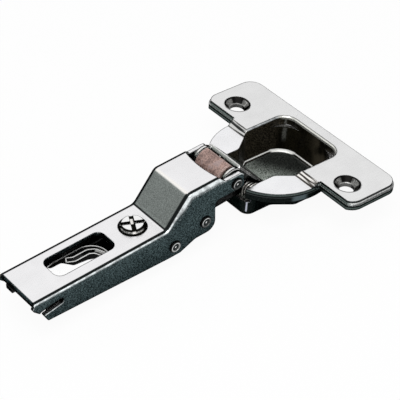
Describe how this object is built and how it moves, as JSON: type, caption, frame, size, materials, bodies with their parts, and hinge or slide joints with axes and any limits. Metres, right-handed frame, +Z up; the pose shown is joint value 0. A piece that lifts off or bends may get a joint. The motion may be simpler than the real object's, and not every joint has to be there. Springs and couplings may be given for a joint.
{
  "type": "soft-close concealed hinge",
  "caption": "Concealed cabinet hinge, half open: a cranked nickel-plated arm joined by two links and a round damper to a drilled cup with a screw plate.",
  "frame": {"origin": "on the arm's flat top face, on its centre line, just in front of its rear end", "axes": "+X forward along the arm towards the cup, +Y across the hinge along its pins, +Z up, out of the arm's top face"},
  "size_m": [0.1046, 0.0604, 0.0217],
  "materials": {
    "nickel_plate": "nickel plated",
    "rivet_steel": "plated, turned heads",
    "spring_steel": "drawn wire",
    "damper_plastic": "moulded, brown grey"
  },
  "bodies": {
    "arm": {"hinge_arm": "nickel_plate", "inner_slide": "nickel_plate", "slide_clamp": "nickel_plate", "slide_rivet": "rivet_steel", "rear_link_pin": "rivet_steel", "front_link_pin": "rivet_steel", "link_spacer_near": "rivet_steel", "link_spacer_far": "rivet_steel", "link_washer_near": "rivet_steel", "link_washer_far": "rivet_steel", "damper_rotor": "damper_plastic"},
    "adjuster": {"side_screw": "nickel_plate"},
    "outer_link_body": {"outer_link": "nickel_plate", "damper_barrel": "damper_plastic", "damper_cap_near": "damper_plastic", "damper_cap_far": "damper_plastic"},
    "cup_body": {"hinge_cup": "nickel_plate", "outer_cup_pin": "rivet_steel", "inner_cup_pin": "rivet_steel", "closing_spring_near": "spring_steel", "closing_spring_far": "spring_steel"},
    "inner_link_body": {"inner_link": "nickel_plate"}
  },
  "joints": [
    {"name": "cup_swing", "type": "hinge", "parent": "outer_link_body", "child": "cup_body", "pos_m": [0.07477, 0, -0.00535], "axis": [0, -1, 0], "range_deg": [0, 114.9]},
    {"name": "outer_link_swing", "type": "hinge", "parent": "arm", "child": "outer_link_body", "pos_m": [0.06429, 0, 0.00411], "axis": [0, 1, 0], "range_deg": [0, 19.73]},
    {"name": "inner_link_swing", "type": "hinge", "parent": "cup_body", "child": "inner_link_body", "pos_m": [0.07138, 0, -0.00318], "axis": [0, 1, 0], "range_deg": [0, 124.25]},
    {"name": "side_screw_turn", "type": "hinge", "parent": "arm", "child": "adjuster", "pos_m": [0.0357, 0, 0], "axis": [0, 0, 1], "range_deg": [-360, 360]}
  ],
  "couplings": [
    {"joint": "outer_link_swing", "follows": "cup_swing", "ratio": 0.17171},
    {"joint": "inner_link_swing", "follows": "cup_swing", "ratio": 1.0814}
  ]
}
